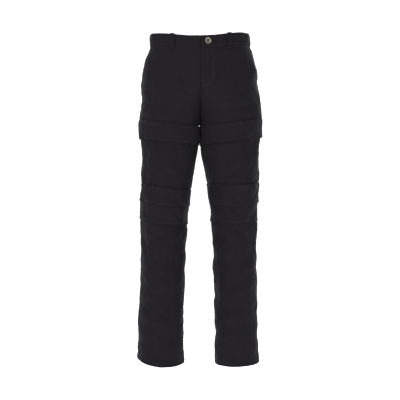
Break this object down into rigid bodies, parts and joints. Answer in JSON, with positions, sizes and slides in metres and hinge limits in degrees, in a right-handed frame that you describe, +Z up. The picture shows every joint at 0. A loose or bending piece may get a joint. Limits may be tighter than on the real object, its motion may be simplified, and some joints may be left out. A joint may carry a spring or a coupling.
{
  "type": "utility trousers",
  "caption": "Straight-leg utility trousers, filled out as worn, with a lapped fly, belt loops, side pockets and flaps all round each thigh and knee.",
  "frame": {"origin": "centre of the waist, half way up the waistband at the side seams, where the wearer holds the garment", "axes": "+Z up the body; the front faces -Y; the wearer's right is at -X"},
  "size_m": [0.3949, 0.2379, 1.0483],
  "materials": {
    "cloth": "matt black fine twill",
    "band": "matt black fine twill, folded double and edge stitched",
    "flap": "matt black fine twill, double, stitched along the free edge",
    "facing": "matt black plain weave",
    "button": "aged grey-olive metal, dished and satin"
  },
  "bodies": {
    "root": {"front_hip_right": "cloth", "front_thigh_right": "cloth", "front_shin_right": "cloth", "back_hip_right": "cloth", "back_thigh_right": "cloth", "back_shin_right": "cloth", "front_hip_left": "cloth", "front_thigh_left": "cloth", "front_shin_left": "cloth", "back_hip_left": "cloth", "back_thigh_left": "cloth", "back_shin_left": "cloth", "waistband_right": "band", "waistband_left": "band", "belt_loop_front_right": "band", "belt_loop_front_left": "band", "belt_loop_side_right": "band", "belt_loop_side_left": "band", "belt_loop_back": "band", "thigh_flap_right": "flap", "knee_flap_upper_right": "flap", "knee_flap_lower_right": "flap", "thigh_flap_left": "flap", "knee_flap_upper_left": "flap", "knee_flap_lower_left": "flap", "fly_shield": "facing", "pocket_facing_right": "facing", "pocket_facing_left": "facing", "button": "button"}
  },
  "joints": []
}
